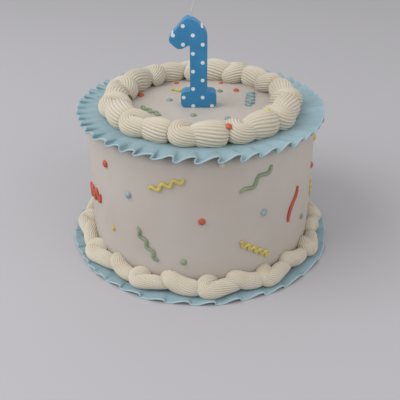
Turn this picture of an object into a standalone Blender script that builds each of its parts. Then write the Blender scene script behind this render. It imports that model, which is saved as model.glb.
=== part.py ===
"""A small round birthday cake, 164 mm across and 101 mm high, with two ruffles, two piped
shell borders and a numeral candle. Blender 4.5; metres, +Z up, origin at the middle of the
underside. The cake faces -Y."""

import math
import random

import bmesh
import bpy
from mathutils import Vector

MM = 0.001
GAP = 0.3 * MM  # clearance kept between touching pieces

# Iced cake
CAKE_RADIUS = 82 * MM
CAKE_HEIGHT = 101 * MM
CAKE_EDGE_RADIUS = 6 * MM
CAKE_SIDES = 48
EDGE_STEPS = 3

# Ruffles: a flat root under the shells, then pleats that deepen towards the rim
RUFFLE_THICKNESS = 1.5 * MM
PLEAT_STEPS = 4
PLEAT_LEAN = 0.5  # 0 is an even wave, 1 has upright folds
TOP_RUFFLE = {
    "root_radius": 60 * MM,
    "pleat_radius": 77 * MM,
    "rim_radius": 88.5 * MM,
    "pleats": 50,
    "pleat_height": 2.2 * MM,
    "droop": -1.5 * MM,
    "root_z": CAKE_HEIGHT - RUFFLE_THICKNESS / 2,
    "lift": 0.0,
    "seed": 3,
}
BASE_RUFFLE = {
    "root_radius": CAKE_RADIUS + 0.5 * MM,
    "pleat_radius": 90 * MM,
    "rim_radius": 98.4 * MM,
    "pleats": 32,
    "pleat_height": 1.9 * MM,
    "droop": 0.0,
    "root_z": RUFFLE_THICKNESS / 2,
    "lift": 1.0,
    "seed": 8,
}
BED_DEPTH = RUFFLE_THICKNESS + 0.4 * MM  # the upper ruffle's root is bedded into the icing
BED_RADIUS = TOP_RUFFLE["root_radius"] - 0.5 * MM

# Shell borders: each shell is a ridged comma, its head on alternate sides of the ring
SHELL_LOBES = 5
LOBE_DEPTH = 0.2
SHELL_TWIST = math.radians(36)
SHELL_WEDGE = 0.2  # how much wider a shell is on the side of its head
SHELL_STATIONS = (  # place along the shell, size there, how far towards its head's side
    (-1.0, 0.62, 0.3),
    (-0.55, 0.95, 0.95),
    (0.0, 1.0, 0.95),
    (0.55, 0.8, 0.4),
    (1.0, 0.60, 0.0),
)
TOP_BORDER = {
    "count": 22,
    "first_angle": math.radians(-101),
    "ring_radius": 61 * MM,
    "base_z": CAKE_HEIGHT + GAP,
    "half_width": 8.7 * MM,
    "height": {1: 14.5 * MM, -1: 15.5 * MM},
    "head_offset": {1: 1.8 * MM, -1: -1.8 * MM},
}
BASE_BORDER = {
    "count": 24,
    "first_angle": math.radians(-88),
    "ring_radius": 88.4 * MM,
    "base_z": RUFFLE_THICKNESS + GAP,
    "half_width": 5.5 * MM,
    "height": {1: 12.5 * MM, -1: 14 * MM},
    "head_offset": {1: 1.2 * MM, -1: -0.2 * MM},
}

# Numeral candle, standing on the icing, and its wick
CANDLE_X = -1.5 * MM
CANDLE_THICKNESS = 10 * MM
CANDLE_ROUNDING = 2.5 * MM
CANDLE_HEIGHT = 64.3 * MM
FOOT_HALF_WIDTH = 12.6 * MM
FOOT_HEIGHT = 11.8 * MM
STEM_HALF_WIDTH = 6 * MM
FLAG_TOP_X = -9.2 * MM
FLAG_TIP = Vector((-21.6, 50.3)) * MM
FLAG_HEEL = Vector((-13.4, 43.0)) * MM
FLAG_ROOT_Z = 46.9 * MM
WICK_RADIUS = 0.6 * MM
WICK_LENGTH = 15 * MM
WICK_X = -5.4 * MM
WICK_LEAN = math.radians(15)


def material(name, red, green, blue, roughness):
    """A plain Principled material from an sRGB colour in 0 to 255."""
    made = bpy.data.materials.new(name)
    made.use_nodes = True
    shader = made.node_tree.nodes["Principled BSDF"]
    linear = [((c / 255 + 0.055) / 1.055) ** 2.4 for c in (red, green, blue)]
    shader.inputs["Base Color"].default_value = (*linear, 1)
    shader.inputs["Roughness"].default_value = roughness
    return made


def add_object(name, bm, look, smooth_angle=40):
    """Turns a bmesh into a named object with its material."""
    bmesh.ops.recalc_face_normals(bm, faces=bm.faces)
    mesh = bpy.data.meshes.new(name)
    bm.to_mesh(mesh)
    bm.free()
    mesh.materials.append(look)
    mesh.shade_smooth()
    mesh.set_sharp_from_angle(angle=math.radians(smooth_angle))
    made = bpy.data.objects.new(name, mesh)
    bpy.context.collection.objects.link(made)
    return made


def polar(radius, angle, z):
    return Vector((radius * math.cos(angle), radius * math.sin(angle), z))


def skin(bm, rings, closed_path):
    """Joins rings of equal length with quads; an open run of rings gets flat ends."""
    rows = [[bm.verts.new(point) for point in ring] for ring in rings]
    size = len(rows[0])
    pairs = list(zip(rows, rows[1:]))
    if closed_path:
        pairs.append((rows[-1], rows[0]))
    for near, far in pairs:
        for i in range(size):
            j = (i + 1) % size
            bm.faces.new((near[i], near[j], far[j], far[i]))
    if not closed_path:
        bm.faces.new(rows[0])
        bm.faces.new(rows[-1])


def build_cake(look):
    """The iced cake, turned from its profile, with a shallow bed for the ruffle's root."""
    edge_centre_r = CAKE_RADIUS - CAKE_EDGE_RADIUS
    shoulder_z = CAKE_HEIGHT - BED_DEPTH
    profile = [(0, 0), (CAKE_RADIUS - MM, 0), (CAKE_RADIUS, MM)]
    for step in range(EDGE_STEPS + 1):
        turn = math.pi / 2 * step / EDGE_STEPS
        profile.append((
            edge_centre_r + CAKE_EDGE_RADIUS * math.cos(turn),
            shoulder_z - CAKE_EDGE_RADIUS + CAKE_EDGE_RADIUS * math.sin(turn),
        ))
    profile += [(BED_RADIUS, shoulder_z), (BED_RADIUS, CAKE_HEIGHT), (0, CAKE_HEIGHT)]
    bm = bmesh.new()
    points = [bm.verts.new((r, 0, z)) for r, z in profile]
    edges = [bm.edges.new(pair) for pair in zip(points, points[1:])]
    bmesh.ops.spin(
        bm, geom=points + edges, axis=(0, 0, 1), cent=(0, 0, 0),
        steps=CAKE_SIDES, angle=2 * math.pi, use_merge=True,
    )
    bmesh.ops.remove_doubles(bm, verts=bm.verts, dist=0.01 * MM)
    return add_object("cake_body", bm, look)


def pleat_angles(pleats, seed):
    """The angle at which each pleat starts; the pleats differ a little in width."""
    chance = random.Random(seed)
    widths = [1 + chance.uniform(-0.22, 0.22) for _ in range(pleats)]
    total = sum(widths)
    starts = [2 * math.pi * sum(widths[:i]) / total for i in range(pleats)]
    return starts + [2 * math.pi]


def build_ruffle(name, spec, look):
    """A ring of icing ribbon whose outer part rises gently and folds back at every pleat."""
    starts = pleat_angles(spec["pleats"], spec["seed"])
    half = RUFFLE_THICKNESS / 2
    radii = (spec["root_radius"], spec["pleat_radius"], spec["rim_radius"])
    rings = []
    for start, end in zip(starts, starts[1:]):
        for step in range(PLEAT_STEPS):
            phase = step / PLEAT_STEPS
            wave = math.sin(2 * math.pi * phase)
            upper, lower = [], []
            for radius in radii:
                out = max(0.0, radius - spec["pleat_radius"])
                share = out / (spec["rim_radius"] - spec["pleat_radius"])
                depth = spec["pleat_height"] * share**2
                lean = PLEAT_LEAN * share * wave / (2 * math.pi)
                angle = start + (end - start) * (phase + lean)
                z = spec["root_z"] + depth * (spec["lift"] + wave) - spec["droop"] * share**1.5
                upper.append(polar(radius, angle, z + half))
                lower.append(polar(radius, angle, z - half))
            rings.append(upper + lower[::-1])
    bm = bmesh.new()
    skin(bm, rings, closed_path=True)
    return add_object(name, bm, look)


def build_shell(name, border, index, look):
    """One piped shell: a ridged bulb on one side of the ring, its tail swept to the middle."""
    side = 1 if index % 2 == 0 else -1
    chance = random.Random(f"{name} size")
    size = 1 + chance.uniform(-0.07, 0.03)
    pitch = 2 * math.pi / border["count"]
    centre_angle = border["first_angle"] + pitch * index
    ring_radius = border["ring_radius"]
    height = border["height"][side] * size
    half_height = height / 2
    rings = []
    for along, share, towards in SHELL_STATIONS:
        shift = border["head_offset"][side] * towards
        ring = []
        for k in range(2 * SHELL_LOBES):
            turn = math.pi * k / SHELL_LOBES + side * SHELL_TWIST * along / 2
            reach = share * (1 if k % 2 == 0 else 1 - LOBE_DEPTH)
            across = shift + border["half_width"] * reach * math.cos(turn)
            up = half_height * (share + reach * math.sin(turn))
            half_length = ring_radius * pitch / 2 + SHELL_WEDGE * side * across - GAP / 2
            angle = centre_angle + along * half_length / ring_radius
            ring.append(polar(ring_radius + across, angle, border["base_z"] + max(0.0, up)))
        rings.append(ring)
    bm = bmesh.new()
    skin(bm, rings, closed_path=False)
    return add_object(name, bm, look, smooth_angle=70)


def rounded_outline(corners, arc_steps=3):
    """Points of a closed outline whose corners, each (x, z, radius), become arcs."""
    points = []
    count = len(corners)
    for i, (x, z, radius) in enumerate(corners):
        here = Vector((x, z))
        back = (Vector(corners[i - 1][:2]) - here).normalized()
        ahead = (Vector(corners[(i + 1) % count][:2]) - here).normalized()
        half_angle = back.angle(ahead) / 2
        reach = radius / math.tan(half_angle)
        start, end = here + back * reach, here + ahead * reach
        centre = here + (back + ahead).normalized() * (radius / math.sin(half_angle))
        sweep = (start - centre).angle(end - centre)
        for step in range(arc_steps + 1):
            share = step / arc_steps
            from_start = math.sin((1 - share) * sweep) / math.sin(sweep)
            from_end = math.sin(share * sweep) / math.sin(sweep)
            points.append(centre + (start - centre) * from_start + (end - centre) * from_end)
    return points


def build_candle(look):
    """The numeral one, extruded from its outline, with rounded edges."""
    outline = rounded_outline([
        (-FOOT_HALF_WIDTH, 0, 3.5 * MM),
        (FOOT_HALF_WIDTH, 0, 3.5 * MM),
        (FOOT_HALF_WIDTH, FOOT_HEIGHT, 3.6 * MM),
        (STEM_HALF_WIDTH, FOOT_HEIGHT, 1.5 * MM),
        (STEM_HALF_WIDTH, CANDLE_HEIGHT, 9.5 * MM),
        (FLAG_TOP_X, CANDLE_HEIGHT, 4.0 * MM),
        (*FLAG_TIP, 3.2 * MM),
        (*FLAG_HEEL, 3.2 * MM),
        (-STEM_HALF_WIDTH, FLAG_ROOT_Z, 1.2 * MM),
        (-STEM_HALF_WIDTH, FOOT_HEIGHT, 1.5 * MM),
        (-FOOT_HALF_WIDTH, FOOT_HEIGHT, 3.6 * MM),
    ])
    bm = bmesh.new()
    front = bm.faces.new([bm.verts.new((p.x, -CANDLE_THICKNESS / 2, p.y)) for p in outline])
    extruded = bmesh.ops.extrude_face_region(bm, geom=[front])["geom"]
    moved = [v for v in extruded if isinstance(v, bmesh.types.BMVert)]
    bmesh.ops.translate(bm, verts=moved, vec=(0, CANDLE_THICKNESS, 0))
    candle = add_object("candle_numeral", bm, look)
    candle.location = (CANDLE_X, 0, CAKE_HEIGHT + GAP)
    rounding = candle.modifiers.new("rounding", "BEVEL")
    rounding.width = CANDLE_ROUNDING
    rounding.segments = 2
    rounding.limit_method = "ANGLE"
    rounding.angle_limit = math.radians(60)
    return candle


def build_wick(look):
    """A short waxed wick that leans as it leaves the candle's top."""
    curve = bpy.data.curves.new("wick", "CURVE")
    curve.dimensions = "3D"
    curve.bevel_depth = WICK_RADIUS
    curve.bevel_resolution = 2
    curve.use_fill_caps = True
    spline = curve.splines.new("POLY")
    steps = 5
    spline.points.add(steps)
    for i in range(steps + 1):
        share = i / steps
        height = WICK_LENGTH * share
        across = math.tan(WICK_LEAN) * WICK_LENGTH * share**1.3
        spline.points[i].co = (across, 0, height, 1)
    curve.materials.append(look)
    wick = bpy.data.objects.new("wick", curve)
    wick.location = (CANDLE_X + WICK_X, 0, CAKE_HEIGHT + CANDLE_HEIGHT + 2 * GAP)
    bpy.context.collection.objects.link(wick)
    return wick


def main():
    for old in list(bpy.data.objects):
        bpy.data.objects.remove(old)
    cream = material("cream icing", 192, 183, 169, 0.55)
    blue = material("blue icing", 147, 168, 174, 0.6)
    wax = material("blue wax", 56, 112, 148, 0.35)
    cotton = material("waxed cotton", 190, 188, 190, 0.7)
    build_cake(cream)
    build_ruffle("ruffle_top", TOP_RUFFLE, blue)
    build_ruffle("ruffle_base", BASE_RUFFLE, blue)
    for i in range(TOP_BORDER["count"]):
        build_shell(f"shell_top_{i + 1:02d}", TOP_BORDER, i, cream)
    for i in range(BASE_BORDER["count"]):
        build_shell(f"shell_base_{i + 1:02d}", BASE_BORDER, i, cream)
    build_candle(wax)
    build_wick(cotton)


main()
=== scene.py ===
import math
import random

import bpy
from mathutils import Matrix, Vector


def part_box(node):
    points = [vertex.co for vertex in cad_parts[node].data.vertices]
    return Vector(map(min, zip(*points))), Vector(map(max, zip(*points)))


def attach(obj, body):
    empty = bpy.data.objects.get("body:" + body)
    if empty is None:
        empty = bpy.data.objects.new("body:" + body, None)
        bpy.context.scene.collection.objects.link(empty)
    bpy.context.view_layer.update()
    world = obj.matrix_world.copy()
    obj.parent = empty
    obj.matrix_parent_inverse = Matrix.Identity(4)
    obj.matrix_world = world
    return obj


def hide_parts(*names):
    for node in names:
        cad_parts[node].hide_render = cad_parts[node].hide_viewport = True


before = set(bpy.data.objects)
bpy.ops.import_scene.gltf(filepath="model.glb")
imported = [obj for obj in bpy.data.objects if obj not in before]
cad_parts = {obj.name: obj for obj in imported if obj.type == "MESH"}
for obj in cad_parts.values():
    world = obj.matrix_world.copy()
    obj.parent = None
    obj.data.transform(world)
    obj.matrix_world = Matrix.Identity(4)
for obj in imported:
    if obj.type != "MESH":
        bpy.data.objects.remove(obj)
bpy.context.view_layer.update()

MM = 0.001


# ---- The iced cake ----
# An uncut sponge cake under a coat of soft cream icing, smoothed with a scraper while the
# cake turned, so its wall and top are almost even with slow, shallow waves left by the hand.

CAKE_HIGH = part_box("cake_body")[1]
CAKE_RADIUS = CAKE_HIGH[0]
CAKE_HEIGHT = CAKE_HIGH[2]
TOP_EDGE_RADIUS = 7 * MM
BED_DEPTH = 1.9 * MM  # how far the icing's edge drops under the upper ruffle
BED_RADIUS = 62 * MM
ICING_WAVE = 0.9 * MM
CREAM = (0.535, 0.49, 0.45)
CREAM_DEEP = (0.50, 0.445, 0.39)


def deselect():
    if bpy.context.object and bpy.context.object.mode != "OBJECT":
        bpy.ops.object.mode_set(mode="OBJECT")
    bpy.ops.object.select_all(action="DESELECT")


def take_up(piece):
    """Make one piece the selected and active one."""
    deselect()
    piece.select_set(True)
    bpy.context.view_layer.objects.active = piece


def pick_edges(piece, wanted):
    """In edit mode, select the edges whose two end points satisfy wanted(a, b)."""
    bpy.ops.object.mode_set(mode="OBJECT")
    mesh = piece.data
    mesh.polygons.foreach_set("select", [False] * len(mesh.polygons))
    mesh.vertices.foreach_set("select", [False] * len(mesh.vertices))
    for edge in mesh.edges:
        a, b = (mesh.vertices[i].co for i in edge.vertices)
        edge.select = wanted(a, b)
    bpy.ops.object.mode_set(mode="EDIT")
    bpy.ops.mesh.select_mode(type="EDGE")


def pick_faces(piece, wanted):
    """In edit mode, select the faces whose middle and normal satisfy wanted(middle, normal)."""
    bpy.ops.object.mode_set(mode="OBJECT")
    mesh = piece.data
    mesh.vertices.foreach_set("select", [False] * len(mesh.vertices))
    mesh.edges.foreach_set("select", [False] * len(mesh.edges))
    for face in mesh.polygons:
        face.select = wanted(face.center, face.normal)
    bpy.ops.object.mode_set(mode="EDIT")
    bpy.ops.mesh.select_mode(type="FACE")


def settle(piece):
    """Put a piece's place into its mesh, so that its object sits at the origin."""
    take_up(piece)
    bpy.ops.object.transform_apply(location=True, rotation=True, scale=True)


def apply_modifiers(piece):
    take_up(piece)
    for modifier in list(piece.modifiers):
        bpy.ops.object.modifier_apply(modifier=modifier.name)


def node(tree, kind, **values):
    """Add a shader node; values set its properties."""
    made = tree.nodes.new(kind)
    for name, value in values.items():
        setattr(made, name, value)
    return made


def new_material(name, roughness):
    made = bpy.data.materials.new(name)
    made.use_nodes = True
    shader = made.node_tree.nodes["Principled BSDF"]
    shader.inputs["Roughness"].default_value = roughness
    return made, made.node_tree, shader


def make_patchy_group():
    """Two colours mixed in soft, uneven patches, with a matching uneven gloss and a faint relief."""
    tree = bpy.data.node_groups.new("hand-worked icing", "ShaderNodeTree")
    for name, kind in (
        ("Main", "NodeSocketColor"), ("Deep", "NodeSocketColor"), ("Patch Size", "NodeSocketFloat"),
        ("Roughness", "NodeSocketFloat"), ("Relief", "NodeSocketFloat"),
    ):
        tree.interface.new_socket(name=name, in_out="INPUT", socket_type=kind)
    for name, kind in (
        ("Color", "NodeSocketColor"), ("Roughness", "NodeSocketFloat"), ("Height", "NodeSocketFloat"),
    ):
        tree.interface.new_socket(name=name, in_out="OUTPUT", socket_type=kind)
    given = node(tree, "NodeGroupInput")
    out = node(tree, "NodeGroupOutput")
    place = node(tree, "ShaderNodeTexCoord")
    scale = node(tree, "ShaderNodeMath", operation="DIVIDE")
    scale.inputs[0].default_value = 1.0
    patches = node(tree, "ShaderNodeTexNoise")
    patches.inputs["Detail"].default_value = 3.0
    spread = node(tree, "ShaderNodeMapRange")
    spread.inputs["From Min"].default_value = 0.35
    spread.inputs["From Max"].default_value = 0.7
    blend = node(tree, "ShaderNodeMix", data_type="RGBA")
    gloss = node(tree, "ShaderNodeMapRange")
    gloss.inputs["To Min"].default_value = -0.07
    gloss.inputs["To Max"].default_value = 0.09
    rough = node(tree, "ShaderNodeMath", operation="ADD")
    pores = node(tree, "ShaderNodeTexNoise")
    pores.inputs["Scale"].default_value = 420.0
    pores.inputs["Detail"].default_value = 2.0
    height = node(tree, "ShaderNodeMath", operation="MULTIPLY")
    link = tree.links.new
    link(given.outputs["Patch Size"], scale.inputs[1])
    link(place.outputs["Object"], patches.inputs["Vector"])
    link(scale.outputs[0], patches.inputs["Scale"])
    link(patches.outputs[0], spread.inputs["Value"])
    link(spread.outputs[0], blend.inputs[0])
    link(given.outputs["Main"], blend.inputs[6])
    link(given.outputs["Deep"], blend.inputs[7])
    link(patches.outputs[0], gloss.inputs["Value"])
    link(gloss.outputs[0], rough.inputs[0])
    link(given.outputs["Roughness"], rough.inputs[1])
    link(place.outputs["Object"], pores.inputs["Vector"])
    link(pores.outputs[0], height.inputs[0])
    link(given.outputs["Relief"], height.inputs[1])
    link(blend.outputs[2], out.inputs["Color"])
    link(rough.outputs[0], out.inputs["Roughness"])
    link(height.outputs[0], out.inputs["Height"])
    return tree


hand_worked = make_patchy_group()


def icing_material(name, main, deep, patch_size, roughness, relief, soft=0.15):
    """Whipped icing in two close colours; soft is how much light passes into it."""
    made, tree, shader = new_material(name, roughness)
    effect = node(tree, "ShaderNodeGroup", node_tree=hand_worked)
    effect.inputs["Main"].default_value = (*main, 1)
    effect.inputs["Deep"].default_value = (*deep, 1)
    effect.inputs["Patch Size"].default_value = patch_size
    effect.inputs["Roughness"].default_value = roughness
    effect.inputs["Relief"].default_value = relief
    bump = node(tree, "ShaderNodeBump")
    bump.inputs["Strength"].default_value = 0.25
    bump.inputs["Distance"].default_value = 0.2 * MM
    tree.links.new(effect.outputs["Color"], shader.inputs["Base Color"])
    tree.links.new(effect.outputs["Roughness"], shader.inputs["Roughness"])
    tree.links.new(effect.outputs["Height"], bump.inputs["Height"])
    tree.links.new(bump.outputs["Normal"], shader.inputs["Normal"])
    shader.inputs["Subsurface Weight"].default_value = soft
    shader.inputs["Subsurface Radius"].default_value = (1.0, 0.8, 0.6)
    shader.inputs["Subsurface Scale"].default_value = 2 * MM
    shader.inputs["Specular IOR Level"].default_value = 0.35
    return made, tree, shader, effect


smooth_cream, _, _, _ = icing_material(
    "smooth cream icing", CREAM, CREAM_DEEP, patch_size=0.05, roughness=0.5, relief=0.3)

deselect()
bpy.ops.mesh.primitive_cylinder_add(
    vertices=160, radius=CAKE_RADIUS, depth=CAKE_HEIGHT, location=(0, 0, CAKE_HEIGHT / 2))
cake = bpy.context.object
cake.name = "iced_cake"
settle(cake)
bpy.ops.object.mode_set(mode="EDIT")
pick_faces(cake, lambda middle, normal: normal.z > 0.9)
bpy.ops.mesh.inset(thickness=CAKE_RADIUS - BED_RADIUS - 1 * MM)
bpy.ops.mesh.inset(thickness=1 * MM)
pick_edges(
    cake,
    lambda a, b: min(a.z, b.z) > CAKE_HEIGHT - MM and min(a.xy.length, b.xy.length) > BED_RADIUS + 0.5 * MM,
)
bpy.ops.transform.translate(value=(0, 0, -BED_DEPTH))
pick_edges(
    cake,
    lambda a, b: min(a.z, b.z) > 0.5 * CAKE_HEIGHT and min(a.xy.length, b.xy.length) > CAKE_RADIUS - MM,
)
bpy.ops.mesh.bevel(offset=TOP_EDGE_RADIUS, offset_type="OFFSET", segments=6, affect="EDGES")
pick_edges(cake, lambda a, b: max(a.z, b.z) < MM and min(a.xy.length, b.xy.length) > CAKE_RADIUS - MM)
bpy.ops.mesh.bevel(offset=1 * MM, offset_type="OFFSET", segments=2, affect="EDGES")
pick_edges(cake, lambda a, b: abs(a.z - b.z) > 0.5 * CAKE_HEIGHT)
bpy.ops.mesh.subdivide(number_cuts=30)
pick_faces(cake, lambda middle, normal: normal.z > 0.9 and middle.xy.length < 1 * MM)
for _ in range(11):
    bpy.ops.mesh.inset(thickness=5 * MM)
bpy.ops.object.mode_set(mode="OBJECT")
bpy.ops.object.shade_smooth()

hand_wave = bpy.data.textures.new("hand wave", "CLOUDS")
hand_wave.noise_scale = 34 * MM
hand_wave.noise_depth = 1
wave = cake.modifiers.new("hand wave", "DISPLACE")
wave.texture = hand_wave
wave.texture_coords = "LOCAL"
wave.strength = ICING_WAVE
wave.mid_level = 0.62
apply_modifiers(cake)
for vertex in cake.data.vertices:
    vertex.co.z = max(vertex.co.z, 0.0)
cake.data.materials.append(smooth_cream)
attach(cake, "root")
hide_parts("cake_body")


# ---- The ruffles ----
# Ribbons of pale blue icing squeezed from a petal tip held on edge, its hand rocking so that
# the outer part lies in pleats. One caps the top edge, one lies round the foot of the cake.

BLUE = (0.31, 0.44, 0.49)
BLUE_DEEP = (0.255, 0.375, 0.415)
# Paler blue for the painted highlight along the ribbon's outer rim.
BLUE_RIM_HIGHLIGHT = (0.42, 0.55, 0.58)
RIBBON_THICKNESS = 0.9 * MM


def pleated(starts, angle, share, fold, rise):
    """Where a ribbon point lies after pleating: its new angle and height.

    starts are the angles where pleats begin, share runs from 0 at the ribbon's root to 1 at
    its rim, fold turns the back of each pleat under, and rise is the pleats' half height.
    """
    index = max(i for i, start in enumerate(starts[:-1]) if start <= angle)
    width = starts[index + 1] - starts[index]
    phase = (angle - starts[index]) / width
    turn = 2 * math.pi * phase
    vary = random.Random(index * 7 + len(starts))
    own_rise = rise * vary.uniform(0.7, 1.15) * (1 + 0.15 * math.sin(3 * angle))
    own_fold = fold * vary.uniform(0.75, 1.1)
    strength = share ** 1.25
    along = phase + own_fold * share**0.7 * math.sin(turn) / (2 * math.pi)
    height = own_rise * strength * (math.sin(turn) + 0.18 * math.sin(2 * turn + 0.6))
    return starts[index] + width * along, height


def pleat_starts(count, spread, wide_side, seed):
    """Angles where pleats begin: uneven, and wider on one side of the cake than on the other."""
    chance = random.Random(seed)
    widths = []
    for i in range(count):
        side = 1 + 0.14 * math.cos(2 * math.pi * i / count - wide_side)
        widths.append(side * (1 + chance.uniform(-spread, spread)))
    total = sum(widths)
    return [2 * math.pi * sum(widths[:i]) / total for i in range(count + 1)]


def make_ribbon(name, root_radius, flat_radius, rim_radius, starts, rows, shape):
    """A ring of ribbon drawn outwards row by row from a circle, then pleated and thickened."""
    deselect()
    around = 26 * (len(starts) - 1)
    bpy.ops.mesh.primitive_circle_add(vertices=around, radius=root_radius)
    ribbon = bpy.context.object
    ribbon.name = name
    radii = [flat_radius + (rim_radius - flat_radius) * (i / rows) for i in range(rows + 1)]
    bpy.ops.object.mode_set(mode="EDIT")
    bpy.ops.mesh.select_all(action="SELECT")
    reached = root_radius
    for radius in radii:
        bpy.ops.mesh.extrude_edges_move()
        growth = radius / reached
        bpy.ops.transform.resize(value=(growth, growth, 1), center_override=(0, 0, 0))
        reached = radius
    bpy.ops.object.mode_set(mode="OBJECT")
    # The rim attribute runs from 0 at the flat part to 1 at the outer edge; the ribbon material uses it as
    # the mask for its painted rim highlight.
    rim = ribbon.data.attributes.new("rim", "FLOAT", "POINT")
    for vertex in ribbon.data.vertices:
        radius = vertex.co.xy.length
        share = max(0.0, (radius - flat_radius) / (rim_radius - flat_radius))
        angle = math.atan2(vertex.co.y, vertex.co.x) % (2 * math.pi)
        new_angle, new_radius, height = shape(angle, share, radius)
        vertex.co = (new_radius * math.cos(new_angle), new_radius * math.sin(new_angle), height)
        rim.data[vertex.index].value = share
    bpy.ops.object.mode_set(mode="EDIT")
    bpy.ops.mesh.select_all(action="SELECT")
    bpy.ops.mesh.normals_make_consistent(inside=False)
    bpy.ops.object.mode_set(mode="OBJECT")
    up = sum(face.normal.z for face in ribbon.data.polygons)
    if up < 0:
        ribbon.data.flip_normals()
    thickness = ribbon.modifiers.new("thickness", "SOLIDIFY")
    thickness.thickness = RIBBON_THICKNESS
    thickness.offset = 0
    apply_modifiers(ribbon)
    bpy.ops.object.shade_smooth()
    return ribbon


def ribbon_material():
    """Blue icing in two close tones mixed in uneven patches, and paler towards its thin outer rim: a
    painted highlight where the rim catches the light.
    """
    made, tree, shader, effect = icing_material(
        "blue ribbon icing", BLUE, BLUE_DEEP, patch_size=0.02, roughness=0.55, relief=0.4, soft=0.1)
    rim = node(tree, "ShaderNodeAttribute", attribute_name="rim")
    # Painted highlight: the outermost part of the rim is mixed towards a paler blue, standing in for the
    # light its thin edge catches.
    edge = node(tree, "ShaderNodeMapRange")
    edge.inputs["From Min"].default_value = 0.93
    edge.inputs["From Max"].default_value = 1.0
    edge.inputs["To Max"].default_value = 0.75
    paler = node(tree, "ShaderNodeMix", data_type="RGBA")
    paler.inputs[7].default_value = (*BLUE_RIM_HIGHLIGHT, 1)
    tree.links.new(rim.outputs["Fac"], edge.inputs["Value"])
    tree.links.new(edge.outputs[0], paler.inputs[0])
    tree.links.new(effect.outputs["Color"], paler.inputs[6])
    tree.links.new(paler.outputs[2], shader.inputs["Base Color"])
    return made


blue_icing = ribbon_material()

TOP_RIM_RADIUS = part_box("ruffle_top")[1][0] - 0.2 * MM
TOP_FLAT_RADIUS = 72 * MM
TOP_ROOT_RADIUS = 62 * MM
TOP_PLEAT_RISE = 2.1 * MM
TOP_LIFT = 1.2 * MM
top_starts = pleat_starts(50, 0.2, math.radians(-50), seed=4)


def top_shape(angle, share, radius):
    new_angle, height = pleated(top_starts, angle, share, 1.5, TOP_PLEAT_RISE)
    lift = TOP_LIFT * share**1.2
    rim_wander = 0.8 * MM * share * math.sin(5 * angle) * math.sin(13 * angle + 1)
    return new_angle, radius - abs(rim_wander), CAKE_HEIGHT - RIBBON_THICKNESS / 2 + height + lift


top_ribbon = make_ribbon(
    "upper_ruffle", TOP_ROOT_RADIUS, TOP_FLAT_RADIUS, TOP_RIM_RADIUS, top_starts, 14, top_shape)
top_ribbon.data.materials.append(blue_icing)
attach(top_ribbon, "root")
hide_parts("ruffle_top")

FOOT_RIM_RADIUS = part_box("ruffle_base")[1][0] - 0.3 * MM
FOOT_FLAT_RADIUS = 86 * MM
FOOT_ROOT_RADIUS = CAKE_RADIUS + 0.3 * MM
FOOT_PLEAT_RISE = 1.35 * MM
foot_starts = pleat_starts(40, 0.32, math.radians(-20), seed=11)


def foot_shape(angle, share, radius):
    new_angle, height = pleated(foot_starts, angle, share, 1.1, FOOT_PLEAT_RISE)
    low = RIBBON_THICKNESS / 2
    rim_wander = 1.6 * MM * share * (0.5 + 0.5 * math.sin(4 * angle) * math.sin(9 * angle))
    return new_angle, radius - rim_wander, low + max(0.0, height + FOOT_PLEAT_RISE * share * 0.8)


foot_ribbon = make_ribbon(
    "foot_ruffle", FOOT_ROOT_RADIUS, FOOT_FLAT_RADIUS, FOOT_RIM_RADIUS, foot_starts, 12, foot_shape)
foot_ribbon.data.materials.append(blue_icing)
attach(foot_ribbon, "root")
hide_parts("ruffle_base")


# ---- The piped borders ----
# Cream icing piped through a fine-toothed star tip. Each pair is a swirl, started at the inner
# side, brought round and pulled away along the ring, and a full shell laid over its tail.

PIPED_CREAM = (0.61, 0.56, 0.475)
PIPED_DEEP = (0.58, 0.52, 0.41)
# Darker, more yellow cream for the painted shade down in the tip's grooves.
PIPED_GROOVE_SHADE = (0.60, 0.53, 0.38)
TIP_TEETH = 22
TOOTH_DEPTH = 0.095
POINTS_PER_TOOTH = 5



def piped_material():
    """Cream icing, darker and more yellow down in the grooves that the tip's teeth leave: painted shade in
    the grooves.
    """
    made, tree, shader, effect = icing_material(
        "piped cream icing", PIPED_CREAM, PIPED_DEEP, patch_size=0.012, roughness=0.5, relief=0.25)
    # Painted shade: the groove mask mixes the cream towards a darker colour down in the grooves between the
    # ridges.
    groove = node(tree, "ShaderNodeAttribute", attribute_name="groove")
    depth = node(tree, "ShaderNodeMapRange")
    depth.inputs["From Min"].default_value = 0.35
    depth.inputs["To Max"].default_value = 0.7
    groove_shade = node(tree, "ShaderNodeMix", data_type="RGBA")
    groove_shade.inputs[7].default_value = (*PIPED_GROOVE_SHADE, 1)
    tree.links.new(groove.outputs["Fac"], depth.inputs["Value"])
    tree.links.new(depth.outputs[0], groove_shade.inputs[0])
    tree.links.new(effect.outputs["Color"], groove_shade.inputs[6])
    tree.links.new(groove_shade.outputs[2], shader.inputs["Base Color"])
    return made


piped_cream = piped_material()


def tooth_crest(i):
    """How high the section stands at its i-th point: 0 in a groove, 1 on a crest."""
    return abs(math.sin(math.pi * i / POINTS_PER_TOOTH)) ** 0.75


def make_tip_section():
    """The star tip's opening as a closed curve: round crests with sharp grooves between."""
    deselect()
    bpy.ops.curve.primitive_nurbs_circle_add(radius=1)
    section = bpy.context.object
    section.name = "star tip opening"
    section.data.splines.clear()
    spline = section.data.splines.new("POLY")
    count = TIP_TEETH * POINTS_PER_TOOTH
    spline.points.add(count - 1)
    for i in range(count):
        turn = 2 * math.pi * i / count
        reach = 1 - TOOTH_DEPTH * (1 - tooth_crest(i))
        spline.points[i].co = (reach * math.cos(turn), reach * math.sin(turn), 0, 1)
    spline.use_cyclic_u = True
    return section


tip_section = make_tip_section()


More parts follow.
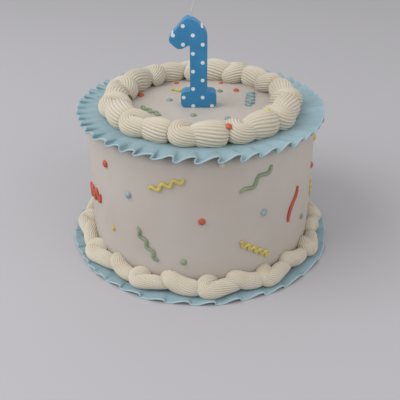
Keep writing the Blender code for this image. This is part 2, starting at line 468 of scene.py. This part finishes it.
def pipe(name, path, ring_radius, base_z, ring_angle):
    """Squeeze one run of icing along path and lay it on the ring.

    path lists (along, outwards, up, thickness, twist) in millimetres and degrees, counted from
    the place on the ring at ring_angle; along runs to the right seen from outside the cake.
    """
    deselect()
    bpy.ops.curve.primitive_nurbs_path_add(radius=1)
    run = bpy.context.object
    run.name = name
    curve = run.data
    curve.splines.clear()
    spline = curve.splines.new("NURBS")
    spline.points.add(len(path) - 1)
    for point, (along, outwards, up, thickness, twist) in zip(spline.points, path):
        radius = ring_radius + outwards * MM
        angle = ring_angle + along * MM / ring_radius
        point.co = (radius * math.cos(angle), radius * math.sin(angle), base_z + up * MM, 1)
        point.radius = thickness * MM
        point.tilt = math.radians(twist)
    spline.order_u = 4
    spline.use_endpoint_u = True
    spline.resolution_u = 7
    curve.dimensions = "3D"
    curve.bevel_mode = "OBJECT"
    curve.bevel_object = tip_section
    curve.use_fill_caps = True
    curve.twist_mode = "MINIMUM"
    curve.twist_smooth = 2
    bpy.ops.object.convert(target="MESH")
    run = bpy.context.object
    settle(run)
    # The groove attribute is 1 down in a groove and 0 on a crest; the piped material uses it as the mask
    # for its painted groove shade.
    groove = run.data.attributes.new("groove", "FLOAT", "POINT")
    for i, entry in enumerate(groove.data):
        entry.value = 1 - tooth_crest(i % POINTS_PER_TOOTH)
    bpy.ops.object.mode_set(mode="EDIT")
    bpy.ops.mesh.select_all(action="SELECT")
    bpy.ops.mesh.remove_doubles(threshold=0.00001)
    bpy.ops.mesh.normals_make_consistent(inside=False)
    bpy.ops.object.mode_set(mode="OBJECT")
    bpy.ops.object.shade_smooth_by_angle(angle=math.radians(60))
    run.data.materials.append(piped_cream)
    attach(run, "root")
    return run


def upper_swirl(chance, size):
    """A run from the inner foot up over the ring to its outer side, round a C, then to the right."""
    lean = chance.uniform(-1.0, 1.0)
    steps = (
        (6.5 + lean, -5.6, 2.0, 0.6, 0),
        (3.6 + lean, -6.0, 3.8, 0.92, 6),
        (-0.4 + lean, -4.0, 5.8, 1.06, 14),
        (-2.4, -0.6, 6.6, 1.13, 24),
        (-2.0, 3.0, 5.6, 1.12, 36),
        (1.0, 4.6, 5.0, 1.06, 50),
        (5.4, 4.0, 5.0, 0.98, 62),
        (10.0, 2.4, 4.8, 0.88, 72),
        (14.5, 1.2, 4.0, 0.62, 80),
    )
    return [(a * size, o * size, u, 7.1 * size * t, w) for a, o, u, t, w in steps]


def upper_shell(chance, size):
    """A full shell laid along the ring: slimmer where it starts, fat and blunt where it ends."""
    steps = (
        (-12.5, 0.8, 3.2, 0.6, 0),
        (-9.0, 0.5, 4.8, 0.85, 8),
        (-4.2, 0.3, 5.0, 1.0, 16),
        (1.0, 0.4, 5.3, 1.06, 24),
        (5.6, 0.2, 5.0, 1.04, 30),
        (9.4, -0.6, 5.2, 0.93, 34),
        (11.6, -0.7, 4.6, 0.6, 36),
        (12.2, -0.7, 4.4, 0.1, 36),
    )
    drift = chance.uniform(-0.8, 0.8)
    return [(a * size, o + drift, u * size, 8.8 * size * t, w) for a, o, u, t, w in steps]


UPPER_COUNT = 22
UPPER_RING = 61 * MM
UPPER_FIRST_ANGLE = math.radians(-101)
upper_pitch = 2 * math.pi / UPPER_COUNT
for i in range(UPPER_COUNT):
    chance = random.Random(100 + i)
    size = chance.uniform(0.93, 1.07)
    angle = UPPER_FIRST_ANGLE + upper_pitch * i + math.radians(chance.uniform(-1.2, 1.2))
    if i % 2 == 0:
        path = upper_swirl(chance, size)
    else:
        path = upper_shell(chance, size)
    run = pipe(f"upper_shell_{i + 1:02d}", path, UPPER_RING, CAKE_HEIGHT, angle)
    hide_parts(f"shell_top_{i + 1:02d}")

LOWER_COUNT = 24
LOWER_RING = 86.2 * MM
LOWER_FIRST_ANGLE = math.radians(-88)
lower_pitch = 2 * math.pi / LOWER_COUNT


def lower_swirl(chance, size):
    """A run from high against the wall, down and round a C on the ruffle, then to the right."""
    lean = chance.uniform(-0.8, 0.8)
    steps = (
        (4.5 + lean, -3.8, 5.6, 0.6, 0),
        (1.6 + lean, -3.2, 7.4, 0.94, 10),
        (-1.6, -1.0, 7.2, 1.06, 24),
        (-2.6, 1.8, 5.6, 1.08, 38),
        (-0.8, 3.4, 4.7, 1.05, 52),
        (3.0, 3.2, 4.7, 1.01, 66),
        (7.5, 1.8, 5.0, 0.98, 78),
        (12.0, 0.6, 5.2, 0.95, 90),
        (17.0, -0.2, 5.0, 0.88, 100),
        (22.0, -0.6, 4.2, 0.6, 110),
    )
    return [(a * size, o * size, u, 5.5 * size * t, w) for a, o, u, t, w in steps]


def lower_shell(chance, size):
    """A run that starts as a small upright curl against the wall and slopes down to the right."""
    high = 9.0 + chance.uniform(-0.7, 0.7)
    steps = (
        (-5.5, -2.8, 0.7, 0.6, 0),
        (-5.0, -2.6, 1.02, 0.86, 10),
        (-2.4, -1.8, 1.0, 1.04, 20),
        (1.2, -0.8, 0.8, 1.08, 34),
        (5.2, 0.0, 0.64, 1.05, 48),
        (9.5, 0.6, 0.56, 1.01, 60),
        (14.5, 0.8, 0.53, 0.94, 74),
        (20.5, 0.4, 0.45, 0.6, 88),
    )
    return [(a * size, o, u * high, 5.5 * size * t, w) for a, o, u, t, w in steps]


for i in range(LOWER_COUNT):
    chance = random.Random(500 + i)
    size = chance.uniform(0.93, 1.08)
    angle = LOWER_FIRST_ANGLE + lower_pitch * i + math.radians(chance.uniform(-1.5, 1.5))
    if i % 2 == 0:
        path = lower_swirl(chance, size)
    else:
        path = lower_shell(chance, size)
    run = pipe(f"lower_shell_{i + 1:02d}", path, LOWER_RING, 1.5 * MM, angle)
    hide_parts(f"shell_base_{i + 1:02d}")

bpy.data.objects.remove(tip_section)


# ---- Confetti ----
# Dots and short squiggles of coloured icing piped straight onto the cream with a fine round
# tip, in red, yellow, green and blue, scattered round the wall and over the top.

CONFETTI = {
    "red": (0.56, 0.112, 0.060),
    "yellow": (0.62, 0.51, 0.14),
    "green": (0.27, 0.34, 0.215),
    "blue": (0.30, 0.40, 0.42),
}
STROKE_RADIUS = 1.25 * MM
DOT_RADIUS = 2.3 * MM

confetti_looks = {}
for colour, value in CONFETTI.items():
    deeper = tuple(0.75 * part for part in value)
    confetti_looks[colour], _, _, _ = icing_material(
        f"{colour} confetti icing", value, deeper, patch_size=0.006, roughness=0.42, relief=0.2, soft=0.1)


def on_wall(bearing, height, proud=0.0):
    """A point on the cake's wall; bearing is in degrees to the right of the front."""
    angle = math.radians(bearing - 90)
    radius = CAKE_RADIUS + proud
    return Vector((radius * math.cos(angle), radius * math.sin(angle), height * MM))


def on_top(x, y, proud=0.0):
    return Vector((x * MM, y * MM, CAKE_HEIGHT + proud))


def add_dot(place, normal, radius, flatness=0.6):
    """A dab of icing: a small ball pressed flat, with the little peak the tip leaves."""
    deselect()
    bpy.ops.mesh.primitive_uv_sphere_add(segments=20, ring_count=12, radius=radius)
    dot = bpy.context.object
    for vertex in dot.data.vertices:
        if vertex.co.z > 0.6 * radius:
            vertex.co.z += 0.35 * (vertex.co.z - 0.6 * radius)
            vertex.co.x += 0.12 * (vertex.co.z - 0.6 * radius)
    dot.scale = (1, 1.08, flatness)
    dot.rotation_euler = normal.to_track_quat("Z", "Y").to_euler()
    dot.location = place
    settle(dot)
    bpy.ops.object.shade_smooth()
    return dot


def add_squiggle(points, thickness):
    """A wavy stroke of icing through the points, with round ends."""
    deselect()
    bpy.ops.curve.primitive_nurbs_path_add(radius=1)
    stroke = bpy.context.object
    curve = stroke.data
    curve.splines.clear()
    spline = curve.splines.new("NURBS")
    spline.points.add(len(points) - 1)
    last = len(points) - 1
    for i, (point, place) in enumerate(zip(spline.points, points)):
        point.co = (*place, 1)
        end = min(i, last - i)
        point.radius = (0.7, 0.9, 0.97)[end] if end < 3 else 1.0
    spline.order_u = 4
    spline.use_endpoint_u = True
    spline.resolution_u = 3
    curve.dimensions = "3D"
    curve.bevel_depth = thickness
    curve.bevel_resolution = 3
    curve.use_fill_caps = True
    bpy.ops.object.convert(target="MESH")
    stroke = bpy.context.object
    settle(stroke)
    bpy.ops.object.shade_smooth()
    return stroke


def wave_points(start, end, lift, waves, swing, swing_way):
    """Points of a wave from start to end; lift puts a point of the flat drawing on the cake."""
    count = 8 * waves + 1
    points = []
    for i in range(count):
        share = i / (count - 1)
        side = swing * math.sin(2 * math.pi * waves * share + 0.4)
        a = start[0] + (end[0] - start[0]) * share + side * swing_way[0]
        b = start[1] + (end[1] - start[1]) * share + side * swing_way[1]
        points.append(lift(a, b))
    return points


def wall_squiggle(start, end, waves, swing):
    """Start and end are (bearing, height); swing is half the wave's width in millimetres."""
    degrees_per_mm = math.degrees(MM / CAKE_RADIUS)
    run = Vector(((end[0] - start[0]) / degrees_per_mm, end[1] - start[1])).normalized()
    way = (-run.y * degrees_per_mm, run.x)
    points = wave_points(start, end, lambda a, b: on_wall(a, b, 0.4 * MM), waves, swing, way)
    return add_squiggle(points, STROKE_RADIUS)


def top_squiggle(start, end, waves, swing):
    run = Vector((end[0] - start[0], end[1] - start[1])).normalized()
    points = wave_points(start, end, lambda a, b: on_top(a, b, 0.4 * MM), waves, swing, (-run.y, run.x))
    return add_squiggle(points, STROKE_RADIUS)


def wall_dot(bearing, height, radius=DOT_RADIUS):
    place = on_wall(bearing, height)
    return add_dot(place, Vector((place.x, place.y, 0)).normalized(), radius)


def top_dot(x, y, radius=DOT_RADIUS):
    return add_dot(on_top(x, y), Vector((0, 0, 1)), radius)


strokes = {
    "red": [
        wall_dot(-50, 81, 2.5 * MM), wall_dot(0.5, 55, 2.4 * MM), wall_dot(72, 66, 2.4 * MM),
        wall_squiggle((-74, 46), (-57, 51), 3, 4.4), wall_squiggle((52, 63), (46, 39), 1, 1.5),
        top_dot(-45, 20, 2.6 * MM), top_dot(27, 30, 2.3 * MM),
        add_dot(on_top(17.4, -63, 11.6 * MM), Vector((0.15, -0.5, 0.8)), 2.1 * MM),
        top_dot(-19, 46, 1.8 * MM), top_dot(16, 46, 1.7 * MM),
    ],
    "yellow": [
        wall_squiggle((-23, 75), (-7, 85), 3, 1.8), wall_dot(-47, 33, 1.9 * MM), wall_dot(76, 85, 2.3 * MM),
        wall_squiggle((18, 36), (34, 20), 5, 1.5), top_squiggle((-22, 29), (2, 32), 3, 1.9),
        wall_squiggle((75, 42), (72, 54), 2, 1.4),
        add_dot(on_top(43.2, -43.5, 14.2 * MM), Vector((0, 0, 1)), 2.1 * MM),
    ],
    "green": [
        wall_squiggle((-31, 43), (-20.5, 21), 3, 1.5), wall_squiggle((18, 73), (33, 88), 2, 2.0),
        wall_dot(-8, 23, 2.2 * MM), wall_dot(60, 33, 2.2 * MM), top_squiggle((-43, -4), (-28, -19), 3, 1.5),
        top_dot(14.5, 28, 2.3 * MM), top_dot(-5, -19, 2.3 * MM),
    ],
    "blue": [
        wall_dot(-35, 66, 2.5 * MM), wall_dot(30, 55, 2.4 * MM), top_squiggle((38, 25), (35, -1), 4, 2.6),
        top_dot(18.5, -24, 2.3 * MM), top_dot(-23, 10, 2.3 * MM),
    ],
}

# The back of the cake carries the same mix, piped a stroke at a time on its way round.
back_chance = random.Random(21)
colours = list(CONFETTI)
for i in range(22):
    colour = colours[(i + i // 4) % 4]
    bearing = 84 + 190 * (i + 0.5) / 22 + back_chance.uniform(-3, 3)
    height = (27, 65, 46, 82)[i % 4] + back_chance.uniform(-7, 7)
    if i % 3 == 1:
        slope = back_chance.choice((-1, 1)) * back_chance.uniform(5, 16)
        strokes[colour].append(wall_squiggle(
            (bearing - 5, height - slope / 2), (bearing + 5, height + slope / 2), 2 + i % 2, 1.7))
    else:
        strokes[colour].append(wall_dot(bearing, height, back_chance.uniform(1.7, 2.4) * MM))

for colour, pieces in strokes.items():
    deselect()
    for piece in pieces:
        piece.select_set(True)
    bpy.context.view_layer.objects.active = pieces[0]
    bpy.ops.object.join()
    scatter = bpy.context.object
    scatter.name = f"{colour}_confetti"
    scatter.data.materials.clear()
    scatter.data.materials.append(confetti_looks[colour])
    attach(scatter, "root")

# Two small peaks of plain cream stand out of the wall close under the upper ruffle.
for i, (bearing, height) in enumerate(((9, 95), (-80, 90))):
    peak = wall_dot(bearing, height, 2.0 * MM)
    peak.name = f"cream_peak_{i + 1}"
    peak.data.materials.append(piped_cream)
    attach(peak, "root")


# ---- The candle ----
# A numeral cast in blue wax with soft, rounded edges, printed with staggered white dots. It stands on the
# icing; the spike that pushes into the cake to hold it is not built.

WAX_BLUE = (0.042, 0.23, 0.445)
WAX_WHITE = (0.72, 0.76, 0.78)
CANDLE_LOW, CANDLE_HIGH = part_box("candle_numeral")
CANDLE_HEIGHT = CANDLE_HIGH[2] - CANDLE_LOW[2]
CANDLE_THICKNESS = CANDLE_HIGH[1] - CANDLE_LOW[1]
FOOT_HALF_WIDTH = 12.6 * MM
CANDLE_X = CANDLE_HIGH[0] - FOOT_HALF_WIDTH
FOOT_HEIGHT = 11.8 * MM
STEM_HALF_WIDTH = 6 * MM
EDGE_ROUNDING = 2.6 * MM
DOT_ACROSS = 6.7 * MM
DOT_UP = 12.8 * MM
DOT_SIZE = 1.35 * MM


def candle_outline():
    """Corners of the numeral as (x, z, corner radius), anticlockwise from its lower left."""
    return [
        (-FOOT_HALF_WIDTH, 0, 3.5 * MM),
        (FOOT_HALF_WIDTH, 0, 3.5 * MM),
        (FOOT_HALF_WIDTH, FOOT_HEIGHT, 3.8 * MM),
        (STEM_HALF_WIDTH, FOOT_HEIGHT, 1.6 * MM),
        (STEM_HALF_WIDTH, CANDLE_HEIGHT - 9.5 * MM, 4.5 * MM),
        (-4 * MM, CANDLE_HEIGHT - 0.4 * MM, 4 * MM),
        (-9 * MM, CANDLE_HEIGHT - 0.4 * MM, 3 * MM),
        (-21.4 * MM, 49 * MM, 3.2 * MM),
        (-13.4 * MM, 41.8 * MM, 3.2 * MM),
        (-STEM_HALF_WIDTH, 45.8 * MM, 1.2 * MM),
        (-STEM_HALF_WIDTH, FOOT_HEIGHT, 1.6 * MM),
        (-FOOT_HALF_WIDTH, FOOT_HEIGHT, 3.8 * MM),
    ]


def wax_material():
    made, tree, shader = new_material("dotted blue wax", 0.38)
    place = node(tree, "ShaderNodeTexCoord")
    split = node(tree, "ShaderNodeSeparateXYZ")
    tree.links.new(place.outputs["Object"], split.inputs[0])

    def maths(operation, first, second=None):
        made_node = node(tree, "ShaderNodeMath", operation=operation)
        for socket, value in zip(made_node.inputs, (first, second)):
            if isinstance(value, (int, float)):
                socket.default_value = value
            elif value is not None:
                tree.links.new(value, socket)
        return made_node.outputs[0]

    across = maths("DIVIDE", maths("ADD", split.outputs[0], 3.9 * MM - CANDLE_X), DOT_ACROSS)
    column = maths("ROUND", across)
    off_across = maths("MULTIPLY", maths("SUBTRACT", across, column), DOT_ACROSS)
    stagger = maths("MULTIPLY", maths("FLOORED_MODULO", column, 2.0), 0.5)
    up = maths("DIVIDE", maths("SUBTRACT", split.outputs[2], CANDLE_LOW[2] + 1.2 * MM), DOT_UP)
    shifted = maths("SUBTRACT", up, stagger)
    off_up = maths("MULTIPLY", maths("SUBTRACT", shifted, maths("ROUND", shifted)), DOT_UP)
    squared = maths("ADD", maths("MULTIPLY", off_across, off_across), maths("MULTIPLY", off_up, off_up))
    distance = maths("SQRT", squared)
    dot = node(tree, "ShaderNodeMapRange")
    dot.inputs["From Min"].default_value = DOT_SIZE + 0.12 * MM
    dot.inputs["From Max"].default_value = DOT_SIZE - 0.12 * MM
    tree.links.new(distance, dot.inputs["Value"])
    cloud = node(tree, "ShaderNodeTexNoise")
    cloud.inputs["Scale"].default_value = 90
    tree.links.new(place.outputs["Object"], cloud.inputs["Vector"])
    wax = node(tree, "ShaderNodeMix", data_type="RGBA")
    wax.inputs[6].default_value = (*(0.82 * part for part in WAX_BLUE), 1)
    wax.inputs[7].default_value = (*(1.2 * part for part in WAX_BLUE), 1)
    tree.links.new(cloud.outputs[0], wax.inputs[0])
    printed = node(tree, "ShaderNodeMix", data_type="RGBA")
    printed.inputs[7].default_value = (*WAX_WHITE, 1)
    tree.links.new(dot.outputs[0], printed.inputs[0])
    tree.links.new(wax.outputs[2], printed.inputs[6])
    tree.links.new(printed.outputs[2], shader.inputs["Base Color"])
    gloss = node(tree, "ShaderNodeMapRange")
    gloss.inputs["To Min"].default_value = 0.3
    gloss.inputs["To Max"].default_value = 0.48
    tree.links.new(cloud.outputs[0], gloss.inputs["Value"])
    tree.links.new(gloss.outputs[0], shader.inputs["Roughness"])
    shader.inputs["Specular IOR Level"].default_value = 0.3
    shader.inputs["Subsurface Weight"].default_value = 0.1
    shader.inputs["Subsurface Scale"].default_value = 1.5 * MM
    shader.inputs["Subsurface Radius"].default_value = (0.5, 0.8, 1.0)
    return made


deselect()
bpy.ops.mesh.primitive_plane_add(size=1)
candle = bpy.context.object
candle.name = "numeral_candle"
bpy.ops.object.mode_set(mode="EDIT")
bpy.ops.mesh.select_all(action="SELECT")
bpy.ops.mesh.delete(type="VERT")
bpy.ops.object.mode_set(mode="OBJECT")
corners = candle_outline()
outline = [(CANDLE_X + x, CANDLE_THICKNESS / 2, CANDLE_LOW[2] + z) for x, z, _ in corners]
candle.data.from_pydata(outline, [], [list(range(len(outline)))])
bpy.ops.object.mode_set(mode="EDIT")
bpy.ops.mesh.select_all(action="SELECT")
bpy.ops.mesh.extrude_region_move(TRANSFORM_OT_translate={"value": (0, -CANDLE_THICKNESS, 0)})
bpy.ops.mesh.select_all(action="SELECT")
bpy.ops.mesh.normals_make_consistent(inside=False)
for x, z, radius in corners:
    corner = Vector((CANDLE_X + x, CANDLE_LOW[2] + z))
    pick_edges(
        candle,
        lambda a, b: abs(a.y - b.y) > 0.5 * CANDLE_THICKNESS and (a.xz - corner).length < 0.01 * MM,
    )
    bpy.ops.mesh.bevel(offset=radius, segments=8, affect="EDGES")
bpy.ops.object.mode_set(mode="OBJECT")
rounding = candle.modifiers.new("soft edge", "BEVEL")
rounding.width = EDGE_ROUNDING
rounding.segments = 5
rounding.limit_method = "ANGLE"
rounding.angle_limit = math.radians(60)
apply_modifiers(candle)
bpy.ops.object.shade_smooth_by_angle(angle=math.radians(40))
candle.data.materials.clear()
candle.data.materials.append(wax_material())
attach(candle, "root")
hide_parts("candle_numeral")


# ---- The wick ----
# Three strands of waxed white cotton twisted together, leaning over a little above the wax.

WICK_WHITE = (0.56, 0.55, 0.56)
WICK_LOW, WICK_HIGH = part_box("wick")
STRANDS = 3
STRAND_RADIUS = 0.34 * MM
STRAND_OFFSET = 0.3 * MM
WICK_TURNS = 4

strands = []
for strand in range(STRANDS):
    deselect()
    bpy.ops.curve.primitive_nurbs_path_add(radius=1)
    cotton = bpy.context.object
    spline_points = 33
    cotton.data.splines.clear()
    spline = cotton.data.splines.new("NURBS")
    spline.points.add(spline_points - 1)
    for i in range(spline_points):
        share = i / (spline_points - 1)
        height = WICK_LOW[2] - 0.5 * MM + (WICK_HIGH[2] - WICK_LOW[2]) * share
        lean = (WICK_HIGH[0] - WICK_LOW[0] - 1.4 * MM) * share**1.3
        turn = 2 * math.pi * (WICK_TURNS * share + strand / STRANDS)
        spline.points[i].co = (
            WICK_LOW[0] + 0.7 * MM + lean + STRAND_OFFSET * math.cos(turn),
            STRAND_OFFSET * math.sin(turn), height, 1)
    spline.order_u = 4
    spline.use_endpoint_u = True
    cotton.data.dimensions = "3D"
    cotton.data.bevel_depth = STRAND_RADIUS
    cotton.data.bevel_resolution = 2
    cotton.data.use_fill_caps = True
    bpy.ops.object.convert(target="MESH")
    strands.append(bpy.context.object)
deselect()
for strand in strands:
    strand.select_set(True)
bpy.context.view_layer.objects.active = strands[0]
bpy.ops.object.join()
wick = bpy.context.object
wick.name = "cotton_wick"
settle(wick)
bpy.ops.object.shade_smooth()
cotton_look, cotton_tree, cotton_shader = new_material("waxed cotton", 0.6)
fibres = node(cotton_tree, "ShaderNodeTexNoise")
fibres.inputs["Scale"].default_value = 2500
fibre_place = node(cotton_tree, "ShaderNodeTexCoord")
fibre_mix = node(cotton_tree, "ShaderNodeMix", data_type="RGBA")
fibre_mix.inputs[6].default_value = (*(0.8 * part for part in WICK_WHITE), 1)
fibre_mix.inputs[7].default_value = (*(1.15 * part for part in WICK_WHITE), 1)
cotton_tree.links.new(fibre_place.outputs["Object"], fibres.inputs["Vector"])
cotton_tree.links.new(fibres.outputs[0], fibre_mix.inputs[0])
cotton_tree.links.new(fibre_mix.outputs[2], cotton_shader.inputs["Base Color"])
wick.data.materials.clear()
wick.data.materials.append(cotton_look)
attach(wick, "root")
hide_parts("wick")


# ---- Floor, light and camera ----
# A plain pale floor, an even white sky and two large soft lamps, the stronger from the upper left.

FLOOR_COLOUR = (0.47, 0.46, 0.485)
deselect()
bpy.ops.mesh.primitive_plane_add(size=8, location=(0, 0, -0.05 * MM))
floor = bpy.context.object
floor.name = "floor"
floor_look, _, floor_shader = new_material("pale floor", 0.7)
floor_shader.inputs["Base Color"].default_value = (*FLOOR_COLOUR, 1)
floor.data.materials.append(floor_look)

world = bpy.data.worlds.new("white sky")
bpy.context.scene.world = world
world.use_nodes = True
sky = world.node_tree.nodes["Background"]
sky.inputs["Color"].default_value = (1, 1, 1, 1)
sky.inputs["Strength"].default_value = 0.6


def add_lamp(name, place, aim, size, watts):
    lamp = bpy.data.lights.new(name, "AREA")
    lamp.size = size
    lamp.energy = watts
    made = bpy.data.objects.new(name, lamp)
    made.location = place
    made.rotation_euler = (Vector(aim) - Vector(place)).to_track_quat("-Z", "Y").to_euler()
    bpy.context.collection.objects.link(made)


add_lamp("window", (-0.9, -0.3, 1.0), (0, 0, 0.06), 1.1, 11)
add_lamp("room", (0.9, -0.7, 0.8), (0, 0, 0.06), 1.2, 4)

CAMERA_PLACE = (0.0, -4.95 * CAKE_RADIUS, 3.245 * CAKE_RADIUS)
CAMERA_DIP = math.radians(26.35)
camera_data = bpy.data.cameras.new("camera")
camera_data.lens = 54.6
camera_data.sensor_width = 36
camera_data.shift_x = -0.002
camera_data.shift_y = -0.125
camera = bpy.data.objects.new("camera", camera_data)
camera.location = CAMERA_PLACE
camera.rotation_euler = (math.pi / 2 - CAMERA_DIP, 0, 0)
bpy.context.collection.objects.link(camera)
bpy.context.scene.camera = camera
bpy.context.scene.view_settings.view_transform = "Standard"
